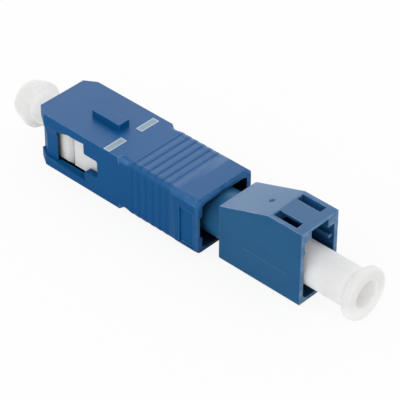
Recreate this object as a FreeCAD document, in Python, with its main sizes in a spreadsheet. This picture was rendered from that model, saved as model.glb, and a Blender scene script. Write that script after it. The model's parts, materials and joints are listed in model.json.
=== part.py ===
"""A fibre optic adapter: an SC push-pull plug at one end, an LC socket at the other.

The optical axis is X, from the SC end to the LC end, and Z is up. The origin is
where that axis meets the front plane of the SC housing.
"""
import FreeCAD
import Part
import Sketcher
import os
from math import cos, pi, sin
from types import SimpleNamespace

# Driving sizes in millimetres.
SIZES = {
    # SC outer housing
    "plug_width": 9.0,
    "plug_height": 7.4,
    "side_wall": 0.8,
    "top_wall": 0.6,
    "housing_length": 26.4,
    "block_length": 14.3,
    "nose_chamfer_length": 1.57,
    "nose_chamfer_depth": 1.0,
    "lip_length": 0.5,
    "lip_taper": 0.6,
    "grip_corner_radius": 0.72,
    "flare_start": 22.0,
    "flare_length": 0.7,
    "flare_step": 0.15,
    "rear_chamfer": 0.7,
    "rear_bevel": 0.3,
    "cavity_cut_width": 0.6,
    "cavity_cut_height": 0.25,
    # grip grooves and the milled run-outs in front of them
    "groove_first": 16.2,
    "groove_pitch": 1.12,
    "groove_count": 6,
    "groove_width": 0.42,
    "groove_floor": 0.2,
    "groove_depth": 0.15,
    "runout_radius": 1.0,
    "runout_setback": 0.57,
    # key on top
    "key_start": 6.0,
    "key_length": 4.45,
    "key_width": 1.7,
    "key_height": 0.87,
    # printed index marks, let in flush
    "mark_start": 11.45,
    "mark_width": 0.95,
    "mark_length": 2.88,
    "mark_gap": 2.44,
    "mark_shift": 0.3,
    "mark_depth": 0.05,
    # latch channel and window in each side
    "channel_depth": 0.4,
    "channel_ramp": 0.12,
    "channel_end": 8.2,
    "ledge_front": 2.45,
    "ledge_rear": 2.7,
    "slope_height": 2.3,
    "window_start": 3.4,
    "window_low": 2.4,
    "window_high": 2.6,
    "window_corner_length": 2.1,
    "window_corner_drop": 0.7,
    "window_undercut": 0.55,
    "slot_length": 2.17,
    "slot_half_height": 1.25,
    # bare recess in the side of the rear block
    "recess_start": 23.7,
    "recess_length": 2.15,
    "recess_low": 3.0,
    "recess_high": 2.05,
    "recess_depth": 0.2,
    # guide grooves inside the housing, for the frame's tabs
    "guide_start": 13.8,
    "guide_half_height": 1.45,
    "guide_depth": 0.35,
    # inner plug frame
    "slide_clearance": 0.15,
    "frame_setback": 0.5,
    "frame_length": 18.5,
    "frame_chamfer": 0.75,
    "nose_width": 5.5,
    "nose_length": 2.0,
    "shoulder_ramp": 0.25,
    "notch_start": 4.7,
    "notch_length": 0.95,
    "notch_depth": 0.65,
    "front_bore_radius": 2.25,
    "front_bore_depth": 5.1,
    "seat_thickness": 1.0,
    "seat_hole_radius": 1.4,
    "spring_bore_radius": 2.4,
    "tab_start": 15.5,
    "tab_length": 2.0,
    # SC ferrule, its flange and spring
    "ferrule_radius": 1.25,
    "ferrule_protrusion": 1.9,
    "ferrule_chamfer": 0.3,
    "ferrule_socket": 2.4,
    "collar_length": 1.5,
    "collar_clearance": 0.1,
    "tail_radius": 1.6,
    "tail_length": 2.9,
    "float_travel": 1.0,
    "float_gap": 0.2,
    "spring_wire": 0.4,
    "spring_turns": 3.5,
    # buffered fibre
    "fibre_radius": 0.45,
    "fibre_clearance": 0.05,
    # neck and inner barrel
    "neck_gap": 1.93,
    "neck_clearance": 0.15,
    "spigot_step": 0.35,
    "spigot_wall": 0.5,
    "bead_start": 3.3,
    "bead_length": 0.7,
    "bead_height": 0.1,
    "fit_clearance": 0.03,
    "barrel_flange": 1.0,
    "barrel_bore_radius": 1.2,
    # LC housing
    "lc_length": 12.07,
    "lc_width": 6.11,
    "lc_height": 9.95,
    "lc_rear_height": 7.38,
    "ramp_length": 7.21,
    "port_depth": 9.5,
    "port_wall": 0.6,
    "port_floor": 0.5,
    "port_corner": 0.5,
    "port_ceiling": 8.4,
    "port_back_ceiling": 6.9,
    "port_ceiling_depth": 6.9,
    "latch_half_width": 1.38,
    "latch_roof": 0.4,
    "catch_length": 1.25,
    "catch_slot_length": 3.35,
    "rail_height": 0.45,
    "rail_level": 2.7,
    "rail_width": 0.55,
    "rail_setback": 0.3,
    "shelf_height": 0.85,
    "shelf_width": 0.9,
    "shelf_setback": 1.4,
    # LC stub ferrule, its flange, split sleeve and sleeve holder
    "stub_radius": 0.625,
    "stub_length": 6.5,
    "stub_chamfer": 0.15,
    "stub_collar": 1.5,
    "stub_tail_radius": 0.95,
    "stub_tail_length": 3.03,
    "sleeve_wall": 0.18,
    "sleeve_length": 6.8,
    "sleeve_grip": 0.01,
    "sleeve_play": 0.03,
    "sleeve_slit_angle": 22.0,
    "holder_flange": 1.0,
    "holder_radius": 1.45,
    "holder_lip": 0.4,
    "holder_lip_gap": 0.07,
    "holder_end_play": 0.05,
    # LC dust plug
    "plug_clearance": 0.07,
    "plug_end_gap": 0.7,
    "plug_reach": 6.95,
    "plug_bore_clearance": 0.05,
    "plug_bore_gap": 0.65,
    "plug_flange_radius": 3.22,
    "plug_flange_length": 1.1,
    "plug_flange_round": 0.3,
    "plug_neck": 0.35,
    "plug_hole_radius": 1.7,
    "plug_hole_depth": 5.0,
    "plug_hole_chamfer": 0.25,
    # SC dust cap
    "cap_clearance": 0.02,
    "cap_stem_clearance": 0.15,
    "cap_stem_gap": 1.4,
    "cap_bore_gap": 0.4,
    "cap_head_position": 3.6,
    "cap_head_length": 2.6,
    "cap_head_radius": 2.95,
    "cap_tip_radius": 2.45,
    "cap_round": 0.4,
    "cap_brim": 0.5,
}

doc = FreeCAD.newDocument("fibre_optic_adapter")
sheet = doc.addObject("Spreadsheet::Sheet", "sizes")
for row, (alias, number) in enumerate(SIZES.items(), start=1):
    sheet.set(f"A{row}", alias.replace("_", " "))
    sheet.set(f"B{row}", str(number))
    sheet.setAlias(f"B{row}", alias)
doc.recompute()


class Size:
    """A length: its number now, and the sheet expression that it follows."""

    def __init__(self, number, text):
        self.number = float(number)
        self.text = text

    def __add__(self, other):
        other = as_size(other)
        return Size(self.number + other.number, f"({self.text} + {other.text})")

    def __sub__(self, other):
        other = as_size(other)
        return Size(self.number - other.number, f"({self.text} - {other.text})")

    def __mul__(self, factor):
        return Size(self.number * factor, f"({self.text} * {factor})")

    def __truediv__(self, divisor):
        return Size(self.number / divisor, f"({self.text} / {divisor})")

    def __neg__(self):
        return Size(-self.number, f"(-{self.text})")


def as_size(value):
    """A plain number as a Size, and a Size as it is."""
    return value if isinstance(value, Size) else Size(value, repr(float(value)))


s = SimpleNamespace(**{alias: Size(number, f"sizes.{alias}") for alias, number in SIZES.items()})

# Half sections of the sliding pieces, from outside to inside.
half_width = s.plug_width / 2
half_height = s.plug_height / 2
cavity_half_width = half_width - s.side_wall
cavity_half_height = half_height - s.top_wall
frame_half_width = cavity_half_width - s.slide_clearance
frame_half_height = cavity_half_height - s.slide_clearance
nose_half_width = s.nose_width / 2
guide_half_width = cavity_half_width + s.guide_depth

# Stations along the axis, from the SC end to the LC end.
frame_end = s.frame_setback + s.frame_length
seat_front = s.frame_setback + s.front_bore_depth
seat_back = seat_front + s.seat_thickness
ferrule_end = seat_back + s.ferrule_socket
collar_end = seat_back + s.collar_length
tail_end = collar_end + s.tail_length
barrel_front = tail_end + s.float_travel + s.float_gap
spigot_front = barrel_front + s.barrel_flange
lc_front = s.housing_length + s.neck_gap
lc_end = lc_front + s.lc_length
port_back = lc_end - s.port_depth
holder_front = lc_front - s.holder_flange
stub_collar_front = holder_front - s.stub_collar
stub_start = port_back - s.stub_length
sleeve_start = port_back - s.sleeve_length / 2
sleeve_end = sleeve_start + s.sleeve_length
holder_end = sleeve_end + s.holder_end_play + s.holder_lip

# Radii of what nests in the neck.
neck_radius = cavity_half_height - s.neck_clearance
spigot_radius = neck_radius - s.spigot_step
neck_bore_radius = spigot_radius - s.spigot_wall
neck_fit_radius = neck_bore_radius - s.fit_clearance
socket_radius = spigot_radius + s.fit_clearance
collar_radius = s.spring_bore_radius - s.collar_clearance
fibre_bore_radius = s.fibre_radius + s.fibre_clearance
sleeve_inner_radius = s.stub_radius + s.sleeve_grip
sleeve_outer_radius = sleeve_inner_radius + s.sleeve_wall
holder_bore_radius = sleeve_outer_radius + s.sleeve_play

# Levels of the LC housing, whose underside lies in the plane of the SC block's underside.
lc_bottom = -half_height
lc_top = lc_bottom + s.lc_height
lc_half_width = s.lc_width / 2
port_half_width = lc_half_width - s.port_wall
port_bottom = lc_bottom + s.port_floor
port_top = lc_bottom + s.port_ceiling
catch_back = lc_end - s.catch_length
catch_slot_back = catch_back - s.catch_slot_length

# Slack that takes a cut clear past the face it opens.
clear = half_width

pieces = []


def new_body(name):
    """A piece of the adapter."""
    body = doc.addObject("PartDesign::Body", name)
    body.Label = name
    pieces.append(body)
    return body


def new_sketch(body, name, plane, offset=0):
    """A sketch on one of the body's origin planes, moved along its normal by offset."""
    sketch = body.newObject("Sketcher::SketchObject", name)
    support = next(f for f in body.Origin.OriginFeatures if f.Role == plane)
    sketch.AttachmentSupport = [(support, "")]
    sketch.MapMode = "FlatFace"
    offset = as_size(offset)
    sketch.setExpression("AttachmentOffset.Base.z", offset.text)
    return sketch


def hold(sketch, line, point, across, up):
    """Holds one point of a sketch at its distances from the two axes."""
    for kind, distance, axis in (("DistanceX", across, -2), ("DistanceY", up, -1)):
        distance = as_size(distance)
        if distance.number == 0:
            sketch.addConstraint(Sketcher.Constraint("PointOnObject", line, point, axis))
            continue
        index = sketch.addConstraint(Sketcher.Constraint(kind, -1, 1, line, point, distance.number))
        sketch.setExpression(f"Constraints[{index}]", distance.text)


def outline(sketch, corners):
    """A closed outline of straight lines through the corners."""
    points = [FreeCAD.Vector(as_size(across).number, as_size(up).number, 0) for across, up in corners]
    first = sketch.GeometryCount
    count = len(points)
    for i, point in enumerate(points):
        sketch.addGeometry(Part.LineSegment(point, points[(i + 1) % count]), False)
    for i in range(count):
        sketch.addConstraint(Sketcher.Constraint("Coincident", first + i, 2, first + (i + 1) % count, 1))
    for i, (across, up) in enumerate(corners):
        hold(sketch, first + i, 1, across, up)


def rectangle(sketch, left, right, low, high):
    """A rectangle between two stations and two levels."""
    outline(sketch, [(left, low), (right, low), (right, high), (left, high)])


def both_sides(sketch, corners):
    """An outline and its mirror image across the sketch's horizontal axis."""
    outline(sketch, corners)
    outline(sketch, [(across, -up) for across, up in corners])


def rounded_rectangle(sketch, half_across, half_up, radius):
    """A rectangle about the origin with tangent corner arcs."""
    first = sketch.GeometryCount
    across = half_across - radius
    up = half_up - radius
    a, b, r = across.number, up.number, radius.number
    turns = [(1, -1), (1, 1), (-1, 1), (-1, -1)]
    for i, (i_across, i_up) in enumerate(turns):
        start = (i - 1) * pi / 2
        centre = FreeCAD.Vector(i_across * a, i_up * b, 0)
        ring = Part.Circle(centre, FreeCAD.Vector(0, 0, 1), r)
        sketch.addGeometry(Part.ArcOfCircle(ring, start, start + pi / 2), False)
    ends = [
        ((a, -b - r), (-a, -b - r)),
        ((a + r, b), (a + r, -b)),
        ((-a, b + r), (a, b + r)),
        ((-a - r, -b), (-a - r, b)),
    ]
    for i, (start, end) in enumerate(ends):
        line = Part.LineSegment(FreeCAD.Vector(*end, 0), FreeCAD.Vector(*start, 0))
        sketch.addGeometry(line, False)
    for i in range(4):
        line = first + 4 + i
        sketch.addConstraint(Sketcher.Constraint("Tangent", line, 2, first + i, 1))
        sketch.addConstraint(Sketcher.Constraint("Tangent", first + (i + 3) % 4, 2, line, 1))
    for i, (i_across, i_up) in enumerate(turns):
        hold(sketch, first + i, 3, across * i_across, up * i_up)
        index = sketch.addConstraint(Sketcher.Constraint("Radius", first + i, r))
        sketch.setExpression(f"Constraints[{index}]", radius.text)


def extrude(body, kind, name, sketch, length, side="One side", reverse=False):
    """A pad or pocket of a sketch."""
    feature = body.newObject(f"PartDesign::{kind}", name)
    feature.Profile = sketch
    feature.SideType = side
    feature.Reversed = reverse
    feature.setExpression("Length", as_size(length).text)
    sketch.Visibility = False
    doc.recompute()
    return feature


def turn(body, kind, name, corners, angle=360):
    """A turned solid or cut: an outline of stations and radii, swept about the optical axis."""
    sketch = new_sketch(body, f"{name}_profile", "XZ_Plane")
    outline(sketch, corners)
    feature = body.newObject(f"PartDesign::{kind}", name)
    feature.Profile = sketch
    feature.ReferenceAxis = (sketch, ["H_Axis"])
    feature.setExpression("Angle", as_size(angle).text)
    sketch.Visibility = False
    doc.recompute()
    return feature


def loft(body, kind, name, sections):
    """A ruled loft, or cut, through sections along the axis."""
    feature = body.newObject(f"PartDesign::{kind}", name)
    feature.Profile = sections[0]
    feature.Sections = sections[1:]
    feature.Ruled = True
    doc.recompute()
    return feature


def rounded_rim(station, radius, ease, side, facets):
    """Corners of a turned outline that round a rim in short cones; side is where its solid lies."""
    corners = []
    for i in range(facets + 1):
        angle = i * pi / 2 / facets
        corners.append((station + ease * (1 - cos(angle)) * side, radius - ease * (1 - sin(angle))))
    return corners if side > 0 else corners[::-1]


def rounded_section(body, name, station, half_across, half_up, radius):
    """A cross-section with rounded corners at a station."""
    sketch = new_sketch(body, name, "YZ_Plane", station)
    rounded_rectangle(sketch, half_across, half_up, radius)
    return sketch


def cut_section(body, name, station, half_across, half_up, cut_across, cut_up):
    """A cross-section with flat cut corners at a station."""
    sketch = new_sketch(body, name, "YZ_Plane", station)
    outline(sketch, [
        (half_across - cut_across, -half_up),
        (half_across, -half_up + cut_up),
        (half_across, half_up - cut_up),
        (half_across - cut_across, half_up),
        (-half_across + cut_across, half_up),
        (-half_across, half_up - cut_up),
        (-half_across, -half_up + cut_up),
        (-half_across + cut_across, -half_up),
    ])
    return sketch


def make_outer_housing():
    """The SC outer housing: a square-edged front block, a ribbed grip and a flared rear block."""
    body = new_body("sc_outer_housing")
    nose_half = half_width - s.nose_chamfer_depth
    plan = new_sketch(body, "block_plan", "XY_Plane")
    outline(plan, [
        (0, -nose_half),
        (s.nose_chamfer_length, -half_width),
        (s.block_length, -half_width),
        (s.block_length, half_width),
        (s.nose_chamfer_length, half_width),
        (0, nose_half),
    ])
    extrude(body, "Pad", "block", plan, s.plug_height, "Symmetric")

    rear_half_width = half_width + s.flare_step
    rear_half_height = half_height + s.flare_step
    flare_end = s.flare_start + s.flare_length
    bevel_start = s.housing_length - s.rear_bevel
    grip_sizes = (half_width, half_height, s.grip_corner_radius)
    rear_sizes = (rear_half_width, rear_half_height, s.rear_chamfer, s.rear_chamfer)
    grip = rounded_section(body, "grip_section", s.block_length, *grip_sizes)
    extrude(body, "Pad", "grip", grip, s.flare_start - s.block_length)
    loft(body, "AdditiveLoft", "flare", [
        rounded_section(body, "flare_front", s.flare_start, *grip_sizes),
        cut_section(body, "flare_back", flare_end, *rear_sizes),
    ])
    rear = cut_section(body, "rear_section", flare_end, *rear_sizes)
    extrude(body, "Pad", "rear_block", rear, bevel_start - flare_end)
    loft(body, "AdditiveLoft", "rear_rim", [
        cut_section(body, "rim_front", bevel_start, *rear_sizes),
        cut_section(
            body,
            "rim_back",
            s.housing_length,
            rear_half_width - s.rear_bevel,
            rear_half_height - s.rear_bevel,
            s.rear_chamfer - s.rear_bevel / 2,
            s.rear_chamfer - s.rear_bevel / 2,
        ),
    ])

    key = new_sketch(body, "key_plan", "XY_Plane")
    rectangle(key, s.key_start, s.key_start + s.key_length, -s.key_width / 2, s.key_width / 2)
    key.setExpression("AttachmentOffset.Base.z", half_height.text)
    extrude(body, "Pad", "key", key, s.key_height)

    cut_inside(body)
    cut_latch_side(body)
    cut_grip(body)
    cut_marks(body)


def cut_inside(body):
    """The through cavity, with a lip at the front and cut corners at the rear, and the tab guides."""
    lip_half = nose_half_width + s.slide_clearance
    lip_end = s.lip_length + s.lip_taper
    cavity = new_sketch(body, "cavity_plan", "XY_Plane")
    outline(cavity, [
        (-clear, -lip_half),
        (s.lip_length, -lip_half),
        (lip_end, -cavity_half_width),
        (s.guide_start, -cavity_half_width),
        (s.guide_start, cavity_half_width),
        (lip_end, cavity_half_width),
        (s.lip_length, lip_half),
        (-clear, lip_half),
    ])
    extrude(body, "Pocket", "cavity", cavity, cavity_half_height * 2, "Symmetric")
    mouth = s.housing_length + clear
    rear = cut_section(body, "rear_cavity_section", mouth, cavity_half_width, cavity_half_height,
                       s.cavity_cut_width, s.cavity_cut_height)
    extrude(body, "Pocket", "rear_cavity", rear, mouth - s.guide_start)
    guide = new_sketch(body, "guide_plan", "XY_Plane")
    rectangle(guide, s.guide_start, mouth, -guide_half_width, guide_half_width)
    extrude(body, "Pocket", "guides", guide, s.guide_half_height * 2, "Symmetric")


def channel_section(body, name, station, face, depth, ledge, slope_foot, slope_head, side):
    """A cross-section of the latch channel: a square lower ledge and a sloped upper flank."""
    sketch = new_sketch(body, name, "YZ_Plane", station)
    outside = face + clear
    floor = face - depth
    outline(sketch, [
        (outside * side, -ledge),
        (floor * side, -ledge),
        (floor * side, slope_foot),
        (face * side, slope_head),
        (outside * side, slope_head),
    ])
    return sketch


def cut_latch_side(body):
    """The latch channel in each side, which follows the nose chamfer, and the stepped window.

    The window's front edge is undercut, so that the frame shows right up to it.
    """
    nose_face = half_width - s.nose_chamfer_depth
    deep = s.channel_depth + s.channel_ramp
    for side, label in ((-1, "near"), (1, "far")):
        loft(body, "SubtractiveLoft", f"channel_{label}", [
            channel_section(body, f"channel_{label}_front", as_size(0), nose_face,
                            s.channel_depth, s.ledge_front, s.slope_height / 8, s.slope_height, side),
            channel_section(body, f"channel_{label}_nose", s.nose_chamfer_length, half_width,
                            s.channel_depth, s.ledge_front, s.slope_height / 4, s.slope_height, side),
            channel_section(body, f"channel_{label}_window", s.window_start, half_width,
                            s.channel_depth, s.ledge_front, s.slope_height / 2, s.slope_height, side),
            channel_section(body, f"channel_{label}_back", s.channel_end, half_width,
                            deep, s.ledge_rear, s.ledge_rear - s.channel_ramp, s.ledge_rear, side),
        ])
    slot_end = s.channel_end + s.slot_length
    window = new_sketch(body, "window_outline", "XZ_Plane")
    outline(window, [
        (s.window_start, -s.window_low),
        (s.channel_end, -s.window_low),
        (s.channel_end, -s.slot_half_height),
        (slot_end, -s.slot_half_height),
        (slot_end, s.slot_half_height),
        (s.channel_end, s.slot_half_height),
        (s.channel_end, s.window_high),
        (s.window_start + s.window_corner_length, s.window_high),
        (s.window_start, s.window_high - s.window_corner_drop),
    ])
    extrude(body, "Pocket", "window", window, s.plug_width + clear, "Symmetric")
    edge_top = s.window_high - s.window_corner_drop
    undercut = new_sketch(body, "undercut_plan", "XY_Plane", edge_top)
    both_sides(undercut, [
        (s.window_start, half_width - s.channel_depth),
        (s.window_start - s.window_undercut, cavity_half_width),
        (s.window_start - s.window_undercut, frame_half_width),
        (s.window_start + s.window_undercut, frame_half_width),
        (s.window_start + s.window_undercut, half_width - s.channel_depth),
    ])
    extrude(body, "Pocket", "window_edge", undercut, s.window_low + edge_top)


def cut_grip(body):
    """The grip's ring grooves, the four corner run-outs ahead of them and the bare side recess."""
    path = rounded_section(body, "groove_path", s.groove_first,
                           half_width, half_height, s.grip_corner_radius)
    floor_half = s.groove_floor / 2
    mouth_half = s.groove_width - floor_half
    profile = new_sketch(body, "groove_profile", "XZ_Plane")
    outline(profile, [
        (s.groove_first - floor_half, half_height - s.groove_depth),
        (s.groove_first + floor_half, half_height - s.groove_depth),
        (s.groove_first + mouth_half, half_height + s.groove_depth),
        (s.groove_first - mouth_half, half_height + s.groove_depth),
    ])
    doc.recompute()
    groove = body.newObject("PartDesign::SubtractivePipe", "groove")
    groove.Profile = profile
    groove.Spine = (path, [f"Edge{i}" for i in range(1, 9)])
    doc.recompute()
    pattern = body.newObject("PartDesign::LinearPattern", "grooves")
    pattern.Originals = [groove]
    pattern.Direction = (path, ["N_Axis"])
    pattern.Mode = "Spacing"
    pattern.setExpression("Offset", s.groove_pitch.text)
    pattern.setExpression("Occurrences", s.groove_count.text)
    body.Tip = pattern
    doc.recompute()

    inset = s.grip_corner_radius * 0.55
    for across, up in ((-1, 1), (1, 1), (1, -1), (-1, -1)):
        runout = body.newObject("PartDesign::SubtractiveCylinder", "runout")
        runout.setExpression("Radius", s.runout_radius.text)
        runout.setExpression("Height", clear.text)
        outward = FreeCAD.Vector(0, across, up)
        turned = FreeCAD.Rotation(FreeCAD.Vector(0, 0, 1), outward)
        runout.Placement = FreeCAD.Placement(FreeCAD.Vector(), turned)
        runout.setExpression("Placement.Base.x", (s.block_length + s.runout_setback).text)
        runout.setExpression("Placement.Base.y", ((half_width - inset) * across).text)
        runout.setExpression("Placement.Base.z", ((half_height - inset) * up).text)
        doc.recompute()

    recess = new_sketch(body, "recess_outline", "XZ_Plane", half_width + s.flare_step)
    rectangle(recess, s.recess_start, s.recess_start + s.recess_length, -s.recess_low, s.recess_high)
    extrude(body, "Pocket", "recess", recess, s.recess_depth)


def mark_bounds(side):
    """The two edges across the top of one index mark."""
    inner = s.mark_gap / 2
    outer = inner + s.mark_length
    if side < 0:
        return -outer - s.mark_shift, -inner - s.mark_shift
    return inner - s.mark_shift, outer - s.mark_shift


def cut_marks(body):
    """The shallow beds of the two index marks."""
    plan = new_sketch(body, "mark_beds_plan", "XY_Plane", half_height)
    for side in (-1, 1):
        low, high = mark_bounds(side)
        rectangle(plan, s.mark_start, s.mark_start + s.mark_width, low, high)
    extrude(body, "Pocket", "mark_beds", plan, s.mark_depth)


def make_marks():
    """The two printed index marks."""
    for side, name in ((-1, "index_mark_near"), (1, "index_mark_far")):
        body = new_body(name)
        low, high = mark_bounds(side)
        plan = new_sketch(body, f"{name}_plan", "XY_Plane", half_height - s.mark_depth)
        rectangle(plan, s.mark_start, s.mark_start + s.mark_width, low, high)
        extrude(body, "Pad", f"{name}_print", plan, s.mark_depth)


def make_plug_frame():
    """The inner plug frame: narrow nose, latch shoulders, sawtooth notches, tabs and a stepped bore."""
    body = new_body("sc_plug_frame")
    face = cut_section(body, "frame_section", s.frame_setback, frame_half_width, frame_half_height,
                       s.frame_chamfer, s.frame_chamfer)
    extrude(body, "Pad", "frame", face, s.frame_length)

    tab_half = guide_half_width - s.slide_clearance
    tab_height = s.guide_half_height - s.slide_clearance
    tabs = new_sketch(body, "tab_outline", "XZ_Plane")
    rectangle(tabs, s.tab_start, s.tab_start + s.tab_length, -tab_height, tab_height)
    extrude(body, "Pad", "tabs", tabs, tab_half * 2, "Symmetric")

    shoulder = s.frame_setback + s.nose_length
    sides = new_sketch(body, "nose_plan", "XY_Plane")
    both_sides(sides, [
        (-clear, nose_half_width),
        (shoulder, nose_half_width),
        (shoulder + s.shoulder_ramp, frame_half_width),
        (shoulder + s.shoulder_ramp, frame_half_width + clear),
        (-clear, frame_half_width + clear),
    ])
    extrude(body, "Pocket", "nose_sides", sides, s.plug_height, "Symmetric")
    notch_end = s.notch_start + s.notch_length
    notches = new_sketch(body, "notch_plan", "XY_Plane")
    both_sides(notches, [
        (s.notch_start, frame_half_width),
        (notch_end, frame_half_width - s.notch_depth),
        (notch_end, frame_half_width + clear),
        (s.notch_start, frame_half_width + clear),
    ])
    extrude(body, "Pocket", "notches", notches, s.plug_height, "Symmetric")

    bead_front = spigot_front + s.bead_start
    bead_back = bead_front + s.bead_length
    bead_radius = socket_radius + s.bead_height
    turn(body, "Groove", "stepped_bore", [
        (s.frame_setback - clear, 0),
        (s.frame_setback - clear, s.front_bore_radius),
        (seat_front, s.front_bore_radius),
        (seat_front, s.seat_hole_radius),
        (seat_back, s.seat_hole_radius),
        (seat_back, s.spring_bore_radius),
        (spigot_front, s.spring_bore_radius),
        (spigot_front, socket_radius),
        (bead_front - s.bead_height, socket_radius),
        (bead_front, bead_radius),
        (bead_back, bead_radius),
        (bead_back + s.bead_height, socket_radius),
        (frame_end + clear, socket_radius),
        (frame_end + clear, 0),
    ])


def make_ferrule_group():
    """The SC ferrule, the flange pressed on it, its spring and the buffered fibre."""
    tip = -s.ferrule_protrusion
    body = new_body("sc_ferrule")
    turn(body, "Revolution", "ferrule", [
        (tip, 0),
        (tip, s.ferrule_radius - s.ferrule_chamfer),
        (tip + s.ferrule_chamfer, s.ferrule_radius),
        (ferrule_end, s.ferrule_radius),
        (ferrule_end, 0),
    ])

    body = new_body("sc_ferrule_flange")
    turn(body, "Revolution", "flange", [
        (seat_back, s.ferrule_radius),
        (seat_back, collar_radius),
        (collar_end, collar_radius),
        (collar_end, s.tail_radius),
        (tail_end, s.tail_radius),
        (tail_end, fibre_bore_radius),
        (ferrule_end, fibre_bore_radius),
        (ferrule_end, s.ferrule_radius),
    ])

    body = new_body("ferrule_spring")
    wire = new_sketch(body, "spring_wire_section", "XZ_Plane")
    mean_radius = (s.tail_radius + s.spring_bore_radius) / 2
    wire_station = collar_end + s.spring_wire / 2
    wire_half = s.spring_wire / 2
    wire_corner = wire_half / cos(pi / 6)
    outline(wire, [
        (wire_station - wire_half, mean_radius - wire_corner / 2),
        (wire_station, mean_radius - wire_corner),
        (wire_station + wire_half, mean_radius - wire_corner / 2),
        (wire_station + wire_half, mean_radius + wire_corner / 2),
        (wire_station, mean_radius + wire_corner),
        (wire_station - wire_half, mean_radius + wire_corner / 2),
    ])
    spring = body.newObject("PartDesign::AdditiveHelix", "spring")
    spring.Profile = wire
    spring.ReferenceAxis = (wire, ["H_Axis"])
    spring.Mode = "height-turns-angle"
    spring.setExpression("Height", (barrel_front - collar_end - s.spring_wire).text)
    spring.setExpression("Turns", s.spring_turns.text)
    doc.recompute()

    body = new_body("fibre_link")
    turn(body, "Revolution", "fibre", [
        (ferrule_end + s.float_travel + s.fibre_clearance, 0),
        (ferrule_end + s.float_travel + s.fibre_clearance, s.fibre_radius),
        (stub_start, s.fibre_radius),
        (stub_start, 0),
    ])


def make_inner_barrel():
    """The barrel that seats the spring and holds the stub's collar against the sleeve holder."""
    body = new_body("inner_barrel")
    turn(body, "Revolution", "barrel", [
        (barrel_front, fibre_bore_radius),
        (barrel_front, s.spring_bore_radius - s.fit_clearance),
        (spigot_front, s.spring_bore_radius - s.fit_clearance),
        (spigot_front, neck_fit_radius),
        (stub_collar_front, neck_fit_radius),
        (stub_collar_front, s.barrel_bore_radius),
        (spigot_front, s.barrel_bore_radius),
        (spigot_front, fibre_bore_radius),
    ])


def make_lc_housing():
    """The LC housing: a ramped shell with a latch port, and the hollow neck moulded on its rear."""
    body = new_body("lc_housing")
    side = new_sketch(body, "lc_side", "XZ_Plane")
    outline(side, [
        (lc_front, lc_bottom),
        (lc_end, lc_bottom),
        (lc_end, lc_top),
        (lc_front + s.ramp_length, lc_top),
        (lc_front, lc_bottom + s.lc_rear_height),
    ])
    extrude(body, "Pad", "lc_shell", side, s.lc_width, "Symmetric")

    bead_front = spigot_front + s.bead_start
    bead_back = bead_front + s.bead_length
    turn(body, "Revolution", "neck", [
        (spigot_front, neck_bore_radius),
        (spigot_front, spigot_radius),
        (bead_front - s.bead_height, spigot_radius),
        (bead_front, spigot_radius + s.bead_height),
        (bead_back, spigot_radius + s.bead_height),
        (bead_back + s.bead_height, spigot_radius),
        (frame_end, spigot_radius),
        (frame_end, neck_radius),
        (lc_front, neck_radius),
        (lc_front, neck_bore_radius),
    ])
    turn(body, "Groove", "holder_hole", [
        (lc_front, 0),
        (lc_front, s.holder_radius + s.fit_clearance),
        (lc_end, s.holder_radius + s.fit_clearance),
        (lc_end, 0),
    ])
    cut_port(body)
    add_guides(body)


def cut_port(body):
    """The port: main cavity, upper cavity, latch slot and the two catch slots in the top."""
    mouth = lc_end + clear
    main = new_sketch(body, "port_section", "YZ_Plane", mouth)
    c = s.port_corner
    back_ceiling = lc_bottom + s.port_back_ceiling
    outline(main, [
        (-port_half_width + c, port_bottom),
        (port_half_width - c, port_bottom),
        (port_half_width, port_bottom + c),
        (port_half_width, back_ceiling),
        (-port_half_width, back_ceiling),
        (-port_half_width, port_bottom + c),
    ])
    extrude(body, "Pocket", "port", main, mouth - port_back)
    upper = new_sketch(body, "upper_section", "YZ_Plane", mouth)
    rectangle(upper, -port_half_width, port_half_width, 0, port_top)
    extrude(body, "Pocket", "upper_port", upper, s.port_ceiling_depth + clear)
    latch = new_sketch(body, "latch_section", "YZ_Plane", mouth)
    rectangle(latch, -s.latch_half_width, s.latch_half_width, 0, lc_top - s.latch_roof)
    extrude(body, "Pocket", "latch_slot", latch, mouth - catch_slot_back)
    slots = new_sketch(body, "catch_plan", "XY_Plane", lc_top)
    both_sides(slots, [
        (catch_slot_back, s.latch_half_width),
        (catch_back, s.latch_half_width),
        (catch_back, port_half_width),
        (catch_slot_back, port_half_width),
    ])
    extrude(body, "Pocket", "catch_slots", slots, lc_top - port_top)


def add_guides(body):
    """Rails on the port's side walls and shelves along its floor, which guide the mating plug."""
    for name, width, low, high, setback in (
        ("rails", s.rail_width, s.rail_level, s.rail_level + s.rail_height, s.rail_setback),
        ("shelves", s.shelf_width, port_bottom, port_bottom + s.shelf_height, s.shelf_setback),
    ):
        sketch = new_sketch(body, f"{name}_section", "YZ_Plane", port_back)
        for side in (-1, 1):
            wall = (port_half_width + s.port_wall / 2) * side
            inner = (port_half_width - width) * side
            rectangle(sketch, wall, inner, low, high)
        extrude(body, "Pad", name, sketch, s.port_depth - setback)


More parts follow.
